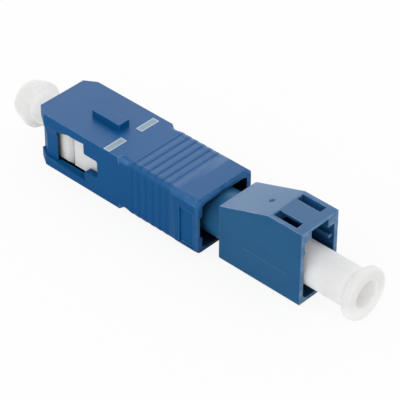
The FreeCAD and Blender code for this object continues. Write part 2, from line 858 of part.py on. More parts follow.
def make_stub():
    """The LC stub ferrule, its flange, the split sleeve and the sleeve holder."""
    body = new_body("lc_ferrule")
    turn(body, "Revolution", "stub", [
        (stub_start, 0),
        (stub_start, s.stub_radius),
        (port_back - s.stub_chamfer, s.stub_radius),
        (port_back, s.stub_radius - s.stub_chamfer),
        (port_back, 0),
    ])

    tail_front = stub_collar_front - s.stub_tail_length
    body = new_body("lc_ferrule_flange")
    turn(body, "Revolution", "stub_flange", [
        (tail_front, fibre_bore_radius),
        (tail_front, s.stub_tail_radius),
        (stub_collar_front, s.stub_tail_radius),
        (stub_collar_front, neck_fit_radius),
        (holder_front, neck_fit_radius),
        (holder_front, s.stub_radius),
        (stub_start, s.stub_radius),
        (stub_start, fibre_bore_radius),
    ])

    body = new_body("split_sleeve")
    turn(body, "Revolution", "sleeve", [
        (sleeve_start, sleeve_inner_radius),
        (sleeve_start, sleeve_outer_radius),
        (sleeve_end, sleeve_outer_radius),
        (sleeve_end, sleeve_inner_radius),
    ], Size(360, "360") - s.sleeve_slit_angle)

    body = new_body("sleeve_holder")
    lip_start = sleeve_end + s.holder_end_play
    turn(body, "Revolution", "holder", [
        (holder_front, holder_bore_radius),
        (holder_front, neck_fit_radius),
        (lc_front, neck_fit_radius),
        (lc_front, s.holder_radius),
        (holder_end, s.holder_radius),
        (holder_end, s.stub_radius + s.holder_lip_gap),
        (lip_start, s.stub_radius + s.holder_lip_gap),
        (lip_start, holder_bore_radius),
    ])


def make_lc_dust_plug():
    """The LC dust plug: a round body over the sleeve holder, with a flange and a blind hole."""
    radius = port_half_width - s.plug_clearance
    bore = s.holder_radius + s.plug_bore_clearance
    start = port_back + s.plug_end_gap
    bore_end = holder_end + s.plug_bore_gap
    end = lc_end + s.plug_reach
    flange = end - s.plug_flange_length
    body = new_body("lc_dust_plug")
    turn(body, "Revolution", "plug", [
        (start, bore),
        (start, radius),
        (flange - s.plug_neck, radius),
        (flange, radius + s.plug_neck),
        *rounded_rim(flange, s.plug_flange_radius, s.plug_flange_round, 1, 2),
        *rounded_rim(end, s.plug_flange_radius, s.plug_flange_round, -1, 2),
        (end, s.plug_hole_radius + s.plug_hole_chamfer),
        (end - s.plug_hole_chamfer, s.plug_hole_radius),
        (end - s.plug_hole_depth, s.plug_hole_radius),
        (end - s.plug_hole_depth, 0),
        (bore_end, 0),
        (bore_end, bore),
    ])


def make_sc_dust_cap():
    """The SC dust cap: a stem over the ferrule and a tapered head with rounded rims."""
    stem = s.front_bore_radius - s.cap_stem_clearance
    bore = s.ferrule_radius + s.cap_clearance
    inner_end = seat_front - s.cap_stem_gap
    head = -s.cap_head_position
    tip = head - s.cap_head_length
    body = new_body("sc_dust_cap")
    turn(body, "Revolution", "cap", [
        (tip, 0),
        *rounded_rim(tip, s.cap_tip_radius, s.cap_round, 1, 2),
        (head - s.cap_brim, s.cap_head_radius),
        (head, s.cap_head_radius),
        (head, stem),
        (inner_end, stem),
        (inner_end, bore),
        (-s.ferrule_protrusion - s.cap_bore_gap, bore),
        (-s.ferrule_protrusion - s.cap_bore_gap, 0),
    ])


make_outer_housing()
make_marks()
make_plug_frame()
make_ferrule_group()
make_inner_barrel()
make_lc_housing()
make_stub()
make_lc_dust_plug()
make_sc_dust_cap()
doc.recompute()

# Every feature has to be sound, and every piece one valid solid, before anything is written.
for item in doc.Objects:
    if "Invalid" in item.State or "Error" in item.State:
        raise RuntimeError(f"{item.Name} failed: {item.State}")
for piece in pieces:
    shape = piece.Shape
    if shape.isNull() or not shape.isValid() or len(shape.Solids) != 1:
        raise RuntimeError(f"{piece.Label} is not one valid solid")

os.makedirs("parts", exist_ok=True)
for piece in pieces:
    piece.Shape.exportStep(f"parts/{piece.Label}.step")
    box = piece.Shape.BoundBox
    print(f"{piece.Label}: {piece.Shape.Volume:.2f} mm3, X {box.XMin:.2f} to {box.XMax:.2f}")
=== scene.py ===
"""Looks of the fibre optic adapter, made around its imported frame.

Lengths in the named values and tables are millimetres, and angles are degrees, unless a comment
says otherwise.
"""
import json
import math

import bmesh
import bpy
from mathutils import Matrix, Vector


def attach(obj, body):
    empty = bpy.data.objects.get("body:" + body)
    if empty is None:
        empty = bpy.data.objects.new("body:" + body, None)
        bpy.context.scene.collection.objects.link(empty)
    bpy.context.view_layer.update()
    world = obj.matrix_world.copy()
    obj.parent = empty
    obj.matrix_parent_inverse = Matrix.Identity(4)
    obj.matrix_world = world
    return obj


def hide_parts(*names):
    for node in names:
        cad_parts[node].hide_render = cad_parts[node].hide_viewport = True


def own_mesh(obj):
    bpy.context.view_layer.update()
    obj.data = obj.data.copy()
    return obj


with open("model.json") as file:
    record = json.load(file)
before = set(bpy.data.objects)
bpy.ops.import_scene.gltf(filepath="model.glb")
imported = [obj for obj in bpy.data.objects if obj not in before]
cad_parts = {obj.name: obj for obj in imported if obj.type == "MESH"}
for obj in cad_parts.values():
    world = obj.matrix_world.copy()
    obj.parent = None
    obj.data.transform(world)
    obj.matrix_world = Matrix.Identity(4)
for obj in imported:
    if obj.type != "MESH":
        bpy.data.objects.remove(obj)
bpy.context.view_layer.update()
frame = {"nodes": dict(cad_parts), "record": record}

nodes = frame["nodes"]
scene = bpy.context.scene
MM = 0.001

# Sizes shared with the solids.
PLUG_WIDTH = 9.0
PLUG_HEIGHT = 7.4
GRIP_CORNER = 0.72
GROOVE_FIRST = 16.2
GROOVE_PITCH = 1.12
GROOVE_COUNT = 6
FLARE_BACK = 22.7
FLARE_STEP = 0.15
SC_END = 26.4
SPRING_FRONT = 8.1
SPRING_BACK = 12.2
SPRING_RADIUS = 2.0
SPRING_WIRE = 0.4
SPRING_TURNS = 3.5
MARK_START = 11.45
MARK_WIDTH = 0.95
MARK_LENGTH = 2.88
MARK_GAP = 2.44
MARK_SHIFT = 0.3
LC_FRONT = 28.33
LC_END = 40.4
LC_HALF_WIDTH = 3.055
LC_REAR_TOP = 3.68
LC_TOP = 6.25
RAMP_LENGTH = 7.21
FLOOR_LEVEL = -3.85

# How strongly a rounded rim is marked for its paler tone, from 0 to 1: partly wear, and partly a
# painted highlight along the edge.
RIM = 0.5


# Node helpers

def fill(node, values):
    """Sets a node's unlinked inputs, by name or number."""
    for key, value in values.items():
        node.inputs[key].default_value = value


def add(tree, kind, values=None, **settings):
    """A node with its settings and its unlinked inputs set."""
    made = tree.nodes.new(kind)
    for key, value in settings.items():
        setattr(made, key, value)
    fill(made, values or {})
    return made


def join(tree, *pairs):
    """Links outputs to inputs, given as pairs."""
    for output, target in pairs:
        tree.links.new(output, target)


def feed(tree, target, value):
    """Sets an input to a number, or links a socket to it."""
    if isinstance(value, (int, float)):
        target.default_value = value
    else:
        join(tree, (value, target))


def group_ends(tree):
    """A tree with what it is given and what it puts out."""
    given = tree.nodes.new("NodeGroupInput").outputs
    return tree, given, tree.nodes.new("NodeGroupOutput").inputs


def maths(tree, operation, first, second=0.0):
    """One step of arithmetic on two values or sockets."""
    made = add(tree, "ShaderNodeMath", operation=operation)
    feed(tree, made.inputs[0], first)
    feed(tree, made.inputs[1], second)
    return made.outputs[0]


def weigh(tree, *parts):
    """The sum of two values, each times its weight."""
    first, second = (maths(tree, "MULTIPLY", value, weight) for value, weight in parts)
    return maths(tree, "ADD", first, second)


def span(tree, value, source, target, smooth=False):
    """A value mapped from one range to another, clamped; the ends are numbers or sockets."""
    made = add(
        tree, "ShaderNodeMapRange", interpolation_type="SMOOTHSTEP" if smooth else "LINEAR")
    for index, end in enumerate((value, *source, *target)):
        feed(tree, made.inputs[index], end)
    return made.outputs[0]


# Shader groups

def new_group(name, values, results):
    """An empty shader group that takes a vector and named values, and puts out named values."""
    tree = bpy.data.node_groups.new(name, "ShaderNodeTree")
    tree.interface.new_socket("Vector", in_out="INPUT", socket_type="NodeSocketVector")
    for label, default in values.items():
        socket = tree.interface.new_socket(label, in_out="INPUT", socket_type="NodeSocketFloat")
        socket.default_value = default
    for label in results:
        tree.interface.new_socket(label, in_out="OUTPUT", socket_type="NodeSocketFloat")
    return group_ends(tree)


def noise(tree, vector, scale, detail=2.0, roughness=0.5):
    """A noise texture's value at a vector, with its scale in waves to the metre."""
    made = add(tree, "ShaderNodeTexNoise", {"Detail": detail, "Roughness": roughness})
    join(tree, (vector, made.inputs["Vector"]))
    feed(tree, made.inputs["Scale"], scale)
    return made.outputs["Fac"]


def blend_colours(tree, factor, first, second):
    """A colour between two colours or sockets."""
    made = add(tree, "ShaderNodeMix", data_type="RGBA")
    join(tree, (factor, made.inputs[0]))
    for index, value in ((6, first), (7, second)):
        if isinstance(value, tuple):
            made.inputs[index].default_value = (*value, 1.0)
        else:
            join(tree, (value, made.inputs[index]))
    return made.outputs[2]


def moulded_skin_group():
    """Moulded plastic: spark-eroded grain, slow tone drift and streaks of flow along the part."""
    tree, given, result = new_group("moulded skin", {"Grain": 9000.0}, ("Height", "Tone", "Gloss"))
    place = given["Vector"]
    fine = noise(tree, place, given["Grain"], detail=3.0, roughness=0.6)
    pits = noise(tree, place, scale=2600.0, detail=1.0)
    stretch = add(tree, "ShaderNodeMapping", {"Scale": (0.25, 1.0, 1.0)})
    join(tree, (place, stretch.inputs["Vector"]))
    flow = noise(tree, stretch.outputs[0], scale=520.0, detail=3.0, roughness=0.55)
    drift = noise(tree, place, scale=110.0, detail=1.0)
    grain = maths(tree, "MULTIPLY", fine, 0.7)
    height = maths(tree, "ADD", grain, maths(tree, "MULTIPLY", pits, 0.3))
    tone = weigh(tree, (flow, 0.5), (drift, 0.5))
    gloss = maths(tree, "ADD", flow, grain)
    join(
        tree,
        (height, result["Height"]),
        (span(tree, tone, (0.32, 0.68), (0.0, 1.0)), result["Tone"]),
        (span(tree, gloss, (0.55, 1.15), (0.0, 1.0)), result["Gloss"]),
    )
    return tree


def edge_rub_group():
    """Where handling has polished a rim, and where a painted highlight runs along it: the marked
    rims, broken up by noise.
    """
    tree, given, result = new_group(
        "edge rub and highlight", {"Rim": 0.0, "Patch": 900.0, "Amount": 0.5}, ("Mask",))
    patches = noise(tree, given["Vector"], given["Patch"], detail=3.0, roughness=0.6)
    patches = span(tree, patches, (0.35, 0.65), (0.35, 1.0))
    rubbed_and_highlight = maths(tree, "MULTIPLY", patches, given["Rim"])
    join(tree, (maths(tree, "MULTIPLY", rubbed_and_highlight, given["Amount"]), result["Mask"]))
    return tree


def turned_lines_group():
    """Fine rings that a lathe leaves round the optical axis."""
    tree, given, result = new_group("turned lines", {"Feed": 5000.0}, ("Height", "Tone"))
    rings = add(
        tree, "ShaderNodeTexWave", {"Distortion": 0.6, "Detail": 2.0}, bands_direction="X")
    haze = noise(tree, given["Vector"], scale=700.0, detail=3.0)
    join(
        tree,
        (given["Vector"], rings.inputs["Vector"]),
        (given["Feed"], rings.inputs["Scale"]),
        (rings.outputs["Fac"], result["Height"]),
        (weigh(tree, (rings.outputs["Fac"], 0.35), (haze, 0.65)), result["Tone"]),
    )
    return tree


def mark_border_group():
    """Where the ink of the two index marks has gathered along their borders."""
    tree, given, result = new_group(
        "mark border",
        dict.fromkeys(("Station", "Half width", "Shift", "Reach", "Half length"), 0.0), ("Mask",))
    axes = add(tree, "ShaderNodeSeparateXYZ")
    join(tree, (given["Vector"], axes.inputs[0]))

    def away(first, second):
        return maths(tree, "ABSOLUTE", maths(tree, "SUBTRACT", first, second))

    along = away(axes.outputs["X"], given["Station"])
    side = maths(tree, "ABSOLUTE", maths(tree, "ADD", axes.outputs["Y"], given["Shift"]))
    across = away(side, given["Reach"])
    edge = maths(
        tree, "MINIMUM",
        maths(tree, "SUBTRACT", given["Half width"], along),
        maths(tree, "SUBTRACT", given["Half length"], across))
    join(tree, (span(tree, edge, (0.07 * MM, 0.17 * MM), (1.0, 0.0)), result["Mask"]))
    return tree


MOULDED_SKIN = moulded_skin_group()
EDGE_RUB_AND_HIGHLIGHT = edge_rub_group()
TURNED_LINES = turned_lines_group()
MARK_BORDER = mark_border_group()


# Materials

def new_material(name):
    """A material, its tree, its Principled shader and the object coordinates."""
    material = bpy.data.materials.new(name)
    material.use_nodes = True
    tree = material.node_tree
    shader = tree.nodes["Principled BSDF"]
    place = add(tree, "ShaderNodeTexCoord").outputs["Object"]
    return material, tree, shader, place


def use_group(tree, group, vector, values):
    """A shader group placed in a material."""
    made = add(tree, "ShaderNodeGroup", node_tree=group)
    join(tree, (vector, made.inputs["Vector"]))
    fill(made, values)
    return made


def bump(tree, shader, height, strength, depth):
    """Relief of that depth on the shader's normal."""
    made = add(tree, "ShaderNodeBump", {"Strength": strength, "Distance": depth * MM})
    join(tree, (height, made.inputs["Height"]), (made.outputs[0], shader.inputs["Normal"]))


def openness(tree, reach, shares):
    """How open a point lies: 0 up to the first share of what is within reach, 1 from the second."""
    made = add(tree, "ShaderNodeAmbientOcclusion", {"Distance": reach * MM}, samples=8)
    return span(tree, made.outputs["AO"], shares, (0.0, 1.0))


def plastic(
        name, dark, light, rubbed_and_highlight, roughness, specular, grain=9000.0, rub_and_highlight=0.5, patch=900.0,
        glow=0.0, bleed=(1.0, 0.97, 0.92), painted_hollow_tone=None, shares=(0.1, 0.48)):
    """Moulded plastic in two close tones, paler and smoother along its rims: partly wear, and
    partly a painted highlight.

    Light may glow and bleed through it, and it may have a painted tone deep in its hollows, found
    by ambient occlusion: painted shade that darkens them; on the white caps, painted light that
    brightens them instead.
    """
    material, tree, shader, place = new_material(name)
    skin = use_group(tree, MOULDED_SKIN, place, {"Grain": grain})
    rim = add(tree, "ShaderNodeAttribute", attribute_name="rim")
    wear_and_highlight = use_group(tree, EDGE_RUB_AND_HIGHLIGHT, place, {"Amount": rub_and_highlight, "Patch": patch})
    join(tree, (rim.outputs["Fac"], wear_and_highlight.inputs["Rim"]))
    body = blend_colours(tree, skin.outputs["Tone"], dark, light)
    body = blend_colours(tree, wear_and_highlight.outputs["Mask"], body, rubbed_and_highlight)
    # Painted shade: the hollow tone takes over where ambient occlusion finds little open space; a
    # pale hollow tone makes it painted light.
    if painted_hollow_tone:
        body = blend_colours(tree, openness(tree, reach=4.5, shares=shares), painted_hollow_tone, body)
    sheen = span(tree, skin.outputs["Gloss"], (0.0, 1.0), (roughness - 0.05, roughness + 0.06))
    polished = maths(tree, "MULTIPLY", wear_and_highlight.outputs["Mask"], 0.12)
    join(
        tree,
        (body, shader.inputs["Base Color"]),
        (maths(tree, "SUBTRACT", sheen, polished), shader.inputs["Roughness"]),
    )
    fill(shader, {"Specular IOR Level": specular})
    if glow:
        fill(shader, {
            "Subsurface Weight": glow,
            "Subsurface Radius": bleed,
            "Subsurface Scale": 2.5 * MM,
        })
    bump(tree, shader, skin.outputs["Height"], strength=0.12, depth=0.02)
    return material


def metal(name, dark, light, roughness, feed_rate):
    """Turned metal with lathe rings."""
    material, tree, shader, place = new_material(name)
    lines = use_group(tree, TURNED_LINES, place, {"Feed": feed_rate})
    tone = lines.outputs["Tone"]
    sheen = span(tree, tone, (0.2, 0.8), (roughness - 0.07, roughness + 0.08))
    join(
        tree,
        (blend_colours(tree, tone, dark, light), shader.inputs["Base Color"]),
        (sheen, shader.inputs["Roughness"]),
    )
    fill(shader, {"Metallic": 1.0})
    bump(tree, shader, lines.outputs["Height"], strength=0.2, depth=0.01)
    return material


def print_ink(name, dark, light, worn, gathered):
    """Screen-printed ink: thin and speckled in the middle, thicker and paler along its border."""
    material, tree, shader, place = new_material(name)
    skin = use_group(tree, MOULDED_SKIN, place, {"Grain": 6000.0})
    border = use_group(tree, MARK_BORDER, place, {
        "Station": (MARK_START + MARK_WIDTH / 2) * MM,
        "Half width": MARK_WIDTH / 2 * MM,
        "Shift": MARK_SHIFT * MM,
        "Reach": (MARK_GAP + MARK_LENGTH) / 2 * MM,
        "Half length": MARK_LENGTH / 2 * MM,
    })
    thin = noise(tree, place, scale=3200.0, detail=3.0, roughness=0.7)
    thin = span(tree, thin, (0.52, 0.70), (0.0, 0.6))
    ink = blend_colours(tree, skin.outputs["Tone"], dark, light)
    ink = blend_colours(tree, thin, ink, worn)
    ink = blend_colours(tree, border.outputs["Mask"], ink, gathered)
    sheen = span(tree, skin.outputs["Gloss"], (0.0, 1.0), (0.5, 0.62))
    join(tree, (ink, shader.inputs["Base Color"]), (sheen, shader.inputs["Roughness"]))
    fill(shader, {"Specular IOR Level": 0.1})
    bump(tree, shader, skin.outputs["Height"], strength=0.15, depth=0.01)
    return material


def ceramic(name, dark, light):
    """Polished zirconia: milky, with a faint cloud under the gloss."""
    material, tree, shader, place = new_material(name)
    cloud = noise(tree, place, scale=900.0)
    sheen = span(tree, noise(tree, place, scale=4000.0), (0.3, 0.7), (0.10, 0.17))
    join(
        tree,
        (blend_colours(tree, cloud, dark, light), shader.inputs["Base Color"]),
        (sheen, shader.inputs["Roughness"]),
    )
    fill(shader, {"Subsurface Weight": 0.15, "Subsurface Scale": 0.5 * MM})
    return material


def drawn_wire(name, dark, light):
    """Drawn spring wire with fine streaks."""
    material, tree, shader, place = new_material(name)
    streak = noise(tree, place, scale=3800.0, detail=4.0, roughness=0.65)
    join(
        tree,
        (blend_colours(tree, streak, dark, light), shader.inputs["Base Color"]),
        (span(tree, streak, (0.3, 0.7), (0.22, 0.36)), shader.inputs["Roughness"]),
    )
    fill(shader, {"Metallic": 1.0})
    bump(tree, shader, streak, strength=0.1, depth=0.01)
    return material


# Each plastic's rubbed tone is partly wear and partly a painted highlight along its rims; its
# hollow tone is painted shade deep in its hollows, and painted light there on the white caps.
FINISHES = {
    "sc_housing_plastic": plastic(
        "sc_blue", dark=(0.003, 0.076, 0.230), light=(0.005, 0.088, 0.256),
        rubbed_and_highlight=(0.13, 0.28, 0.50), roughness=0.44, specular=0.05, rub_and_highlight=0.9,
        painted_hollow_tone=(0.003, 0.006, 0.014)),
    "lc_housing_plastic": plastic(
        "lc_blue", dark=(0.014, 0.096, 0.222), light=(0.019, 0.111, 0.250),
        rubbed_and_highlight=(0.25, 0.36, 0.52), roughness=0.42, specular=0.066, rub_and_highlight=0.9,
        glow=0.25, bleed=(0.25, 0.55, 1.0), painted_hollow_tone=(0.006, 0.03, 0.065)),
    "mark_print": print_ink(
        "index_ink", dark=(0.20, 0.28, 0.36), light=(0.26, 0.34, 0.42),
        worn=(0.14, 0.24, 0.38), gathered=(0.46, 0.58, 0.64)),
    "frame_plastic": plastic(
        "frame_white", dark=(0.80, 0.80, 0.79), light=(0.84, 0.84, 0.83),
        rubbed_and_highlight=(0.86, 0.86, 0.85), roughness=0.6, specular=0.04, grain=7000.0,
        glow=0.3, painted_hollow_tone=(0.10, 0.095, 0.09), shares=(0.1, 0.75)),
    "cap_plastic": plastic(
        "cap_white", dark=(0.70, 0.70, 0.695), light=(0.73, 0.73, 0.725),
        rubbed_and_highlight=(0.90, 0.90, 0.895), roughness=0.65, specular=0.02, grain=6000.0, rub_and_highlight=0.9,
        patch=16000.0, glow=1.0, painted_hollow_tone=(0.99, 0.98, 0.95), shares=(0.7, 1.0)),
    "holder_plastic": plastic(
        "holder_white", dark=(0.62, 0.62, 0.60), light=(0.70, 0.70, 0.68),
        rubbed_and_highlight=(0.76, 0.76, 0.74), roughness=0.45, specular=0.4, grain=7000.0),
    "zirconia": ceramic("ferrule_zirconia", dark=(0.80, 0.79, 0.75), light=(0.90, 0.89, 0.86)),
    "flange_metal": metal(
        "flange_nickel", dark=(0.52, 0.50, 0.45), light=(0.68, 0.66, 0.60),
        roughness=0.3, feed_rate=5200.0),
    "barrel_metal": metal(
        "barrel_brass", dark=(0.50, 0.46, 0.36), light=(0.66, 0.62, 0.50),
        roughness=0.33, feed_rate=4200.0),
    "spring_steel": drawn_wire("spring_wire", dark=(0.42, 0.42, 0.43), light=(0.62, 0.62, 0.63)),
    "fibre_buffer": plastic(
        "fibre_jacket", dark=(0.74, 0.74, 0.71), light=(0.82, 0.82, 0.80),
        rubbed_and_highlight=(0.84, 0.84, 0.82), roughness=0.4, specular=0.4, grain=5000.0),
}
# A darker, rougher tone for the trimmed gate: partly its scar, and partly painted shade of the
# dimple it leaves.
GATE_SCAR_AND_SHADE = plastic(
    "gate_scar_and_shade", dark=(0.010, 0.070, 0.165), light=(0.014, 0.082, 0.190),
    rubbed_and_highlight=(0.02, 0.10, 0.22), roughness=0.6, specular=0.03, grain=12000.0)

SLOT_OF = {row["node"]: row["material_slot"] for row in frame["record"]["subparts"]}
for node_name, node_object in nodes.items():
    node_object.data.materials.clear()
    node_object.data.materials.append(FINISHES[SLOT_OF[node_name]])


# Mesh helpers

def place_piece(mesh, body, slot, replaced=()):
    """A finished mesh as a piece that rides on a body and stands for CAD nodes."""
    piece = bpy.data.objects.new(mesh.name, mesh)
    scene.collection.objects.link(piece)
    if not mesh.materials:
        mesh.materials.append(FINISHES[slot])
    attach(piece, body)
    if replaced:
        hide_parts(*replaced)
    return piece


# A change of section along a moulding is sharp from the first turn on, and within a rim from the
# second.
SECTION_TURN = 3
CORNER_TURN = 60
SAME_PLACE = 1e-6  # metres


def shade(bm, limit, rim=None):
    """Smooth faces, with sharp edges where faces meet at more than the limit.

    With a rim layer, a change of section along the part is sharp too, except within a rim.
    """
    for face in bm.faces:
        face.smooth = True
    for edge in bm.edges:
        turn = math.degrees(edge.calc_face_angle(math.pi))
        edge.smooth = turn < limit
        one_station = abs(edge.verts[0].co.x - edge.verts[1].co.x) < SAME_PLACE
        if rim and turn > SECTION_TURN and one_station:
            within_rim = all(face[rim] == RIM for face in edge.link_faces)
            edge.smooth = turn < CORNER_TURN and within_rim


def finished_mesh(bm, name):
    """A form as a named mesh."""
    mesh = bpy.data.meshes.new(name)
    bm.to_mesh(mesh)
    bm.free()
    return mesh


def closed_mesh(bm, name, limit):
    """A closed form as a named mesh, with its faces turned outwards and shaded."""
    bmesh.ops.recalc_face_normals(bm, faces=bm.faces)
    shade(bm, limit)
    return finished_mesh(bm, name)


def circle(segments):
    """The cosine and sine of even steps round a circle."""
    angles = [2 * math.pi * k / segments for k in range(segments)]
    return [(math.cos(angle), math.sin(angle)) for angle in angles]


def stitch(bm, rings):
    """Faces between rings of points; a ring of one repeated point closes in a fan."""
    for first, second in zip(rings, rings[1:]):
        for k in range(len(first)):
            nxt = (k + 1) % len(first)
            loop = dict.fromkeys((first[k], first[nxt], second[nxt], second[k]))
            bm.faces.new(tuple(loop))


# Mouldings, worked from copies of the solids

MERGE_REACH = 1e-7  # metres
FLAT_TURN = 0.5  # up to which two faces are made one
ROUNDED_TURN = 50  # past which an outside edge is rounded
WINDOW_TURN = 40  # past which an edge counts as a corner of a window
SKIN_SHARE = 0.9  # of the half width or half height, past which a point is on the outer skin
CUT_MARGIN = 0.01  # within which a point still counts as on a cut
END_DEPTH = 0.4  # within which a face counts as part of a housing's rear end


def clean_copy(node_name):
    """A copy of a CAD node, merged to clean faces, with a layer that marks its rims."""
    bm = bmesh.new()
    bm.from_mesh(nodes[node_name].data)
    bm.faces.layers.float.new("rim")
    bmesh.ops.remove_doubles(bm, verts=bm.verts, dist=MERGE_REACH)
    bmesh.ops.dissolve_limit(
        bm, angle_limit=math.radians(FLAT_TURN), verts=bm.verts, edges=bm.edges)
    return bm


def round_edges(bm, edges, ease, segments):
    """Edges rounded by an ease; gives the new faces."""
    return bmesh.ops.bevel(
        bm, geom=edges, offset=ease * MM, offset_type="OFFSET", segments=segments, profile=0.5,
        affect="EDGES", clamp_overlap=False)["faces"]


def turns_by(edge, least):
    """Whether the two faces of an edge turn by more than an angle."""
    return edge.calc_face_angle(0.0) > math.radians(least)


def within(edge, boxes):
    """Whether an edge's middle lies in one of the boxes.

    A box is three ranges: of the station, the reach to either side, and the reach up or down.
    """
    x, y, z = (edge.verts[0].co + edge.verts[1].co) / 2 / MM
    return any(
        a < x < b and c < abs(y) < d and e < abs(z) < f for (a, b), (c, d), (e, f) in boxes)


def round_rims(bm, ease, boxes=(), inside=False):
    """Outside edges that lie out of the boxes, or in them, rounded and marked as rims, for the
    paler tone of wear and painted highlight.
    """
    edges = [
        edge for edge in bm.edges
        if edge.is_convex and turns_by(edge, ROUNDED_TURN) and within(edge, boxes) == inside]
    faces = round_edges(bm, edges, ease, segments=2)
    layer = bm.faces.layers.float["rim"]
    for face in faces:
        face[layer] = RIM


def soften_windows(bm, ease, stations, half_height, wall):
    """The upright corners of the side windows rounded in outline, like those of a moulded slot."""
    corners = []
    for edge in bm.edges:
        first, second = (vert.co for vert in edge.verts)
        runs_across = (
            abs(first.x - second.x) < SAME_PLACE and abs(first.z - second.z) < SAME_PLACE)
        along = stations[0] * MM < first.x < stations[1] * MM
        in_window = along and abs(first.z) < half_height * MM
        in_wall = min(abs(first.y), abs(second.y)) > wall * MM
        if runs_across and in_window and in_wall and turns_by(edge, WINDOW_TURN):
            corners.append(edge)
    round_edges(bm, corners, ease, segments=3)


def on_skin(vert):
    """Whether a point lies on the outer skin of the SC housing."""
    half_width = PLUG_WIDTH / 2 * MM
    half_height = PLUG_HEIGHT / 2 * MM
    return max(abs(vert.co.y) / half_width, abs(vert.co.z) / half_height) > SKIN_SHARE


def sink_skin(bm, front, back, depth):
    """The outer skin between two stations pressed inwards, to lie under the sleeve of ribs."""
    for station in (front, back):
        geometry = bm.verts[:] + bm.edges[:] + bm.faces[:]
        bmesh.ops.bisect_plane(
            bm, geom=geometry, plane_co=(station * MM, 0, 0), plane_no=(1, 0, 0))
    for vert in bm.verts:
        between = (front + CUT_MARGIN) * MM < vert.co.x < (back - CUT_MARGIN) * MM
        if between and on_skin(vert):
            vert.co.y *= 1 - depth / (PLUG_WIDTH / 2)
            vert.co.z *= 1 - depth / (PLUG_HEIGHT / 2)


def stretch_flare(bm, front, back, reach, corner, side_share):
    """The flare's slope drawn out to a station on the top and the bottom, and less on the sides."""
    for vert in bm.verts:
        if front * MM < vert.co.x < (back + CUT_MARGIN) * MM and on_skin(vert):
            from_side = PLUG_WIDTH / 2 + FLARE_STEP - abs(vert.co.y) / MM
            share = min(max(from_side / corner, side_share), 1.0)
            vert.co.x += (vert.co.x - front * MM) * (reach - back) / (back - front) * share


def paint_facing_highlight(bm, front, level, chosen):
    """Faces behind a station that look a chosen way, marked with the paler rim tone: a painted
    highlight where light falls on them.
    """
    layer = bm.faces.layers.float["rim"]
    for face in bm.faces:
        behind = face.calc_center_median().x > front * MM
        if behind and chosen(face.normal) and face[layer] == 0:
            face[layer] = level


def faces_back(normal):
    """Whether a face looks along the axis, as the rear end of a housing does."""
    return normal.x > 0.5


def faces_corner(normal):
    """Whether a face looks out between a side and the top or bottom."""
    return min(abs(normal.y), abs(normal.z)) > 0.25


def place_moulding(bm, node_name, name, body):
    """A worked copy shaded, and put in its node's place."""
    shade(bm, limit=28, rim=bm.faces.layers.float["rim"])
    piece = place_piece(finished_mesh(bm, name), body, SLOT_OF[node_name], [node_name])
    piece.modifiers.new("flat faces", "WEIGHTED_NORMAL").keep_sharp = True


# Turned and drawn forms

def round_corners(corners, steps=6):
    """A turned outline of (station, radius, rounding) with its corners rounded."""
    points = []
    count = len(corners)
    for i, (station, radius, ease) in enumerate(corners):
        here = Vector((station, radius))
        if ease == 0:
            points.append(here)
            continue
        back = (Vector(corners[i - 1][:2]) - here).normalized()
        ahead = (Vector(corners[(i + 1) % count][:2]) - here).normalized()
        half = back.angle(ahead) / 2
        reach = ease / math.tan(half)
        centre = here + (back + ahead).normalized() * (ease / math.sin(half))
        start = here + back * reach - centre
        turn = (here + ahead * reach - centre).angle_signed(start)
        points += [
            centre + Matrix.Rotation(turn * k / steps, 2) @ start for k in range(steps + 1)]
    return points


def turned_mesh(name, corners, painted_light_to=-math.inf, segments=144):
    """An outline that starts and ends on the optical axis, swept round it; painted light up to a
    station, where the body would lie in shade.
    """
    bm = bmesh.new()
    rings = []
    for station, radius in round_corners(corners):
        if radius == 0:
            rings.append([bm.verts.new((station * MM, 0, 0))] * segments)
        else:
            rings.append([
                bm.verts.new((station * MM, radius * MM * cosine, radius * MM * sine))
                for cosine, sine in circle(segments)])
    stitch(bm, rings)
    layer = bm.faces.layers.float.new("rim")
    for face in bm.faces:
        face[layer] = 1.0 if face.calc_center_median().x < painted_light_to * MM else 0.0
    return closed_mesh(bm, name, limit=35)


def bead_mesh(name, paths, radius, level, segments=8):
    """Fine round beads along paths of points, marked as rims of that level: a pale tone that is
    partly a painted highlight.
    """
    bm = bmesh.new()
    for path in paths:
        rings = []
        side = (path[1] - path[0]).orthogonal()
        for i, point in enumerate(path):
            ahead = (path[min(i + 1, len(path) - 1)] - path[max(i - 1, 0)]).normalized()
            side = (side - ahead * side.dot(ahead)).normalized()
            other = ahead.cross(side)
            rings.append([
                bm.verts.new((point + (side * cosine + other * sine) * radius) * MM)
                for cosine, sine in circle(segments)])
        stitch(bm, rings)
        bm.faces.new(rings[0])
        bm.faces.new(rings[-1])
    layer = bm.faces.layers.float.new("rim")
    for face in bm.faces:
        face[layer] = level
    return closed_mesh(bm, name, limit=60)


def pip_mesh(name, place, outward, radius, height, sunk=0.01, segments=32, steps=6):
    """The small pip that a trimmed gate leaves: a low dome, sunk a little into its face."""
    spin = outward.to_track_quat("Z", "X").to_matrix()
    bm = bmesh.new()

    def point(across, along, level):
        return bm.verts.new((place + spin @ Vector((across, along, level - sunk))) * MM)

    rings = []
    for step in range(steps):
        angle = math.pi / 2 * step / steps
        reach = radius * math.cos(angle)
        level = height * math.sin(angle)
        rings.append([
            point(reach * cosine, reach * sine, level) for cosine, sine in circle(segments)])
    rings.append([point(0, 0, height)] * segments)
    stitch(bm, rings)
    bm.faces.new(list(reversed(rings[0])))
    return closed_mesh(bm, name, limit=50)


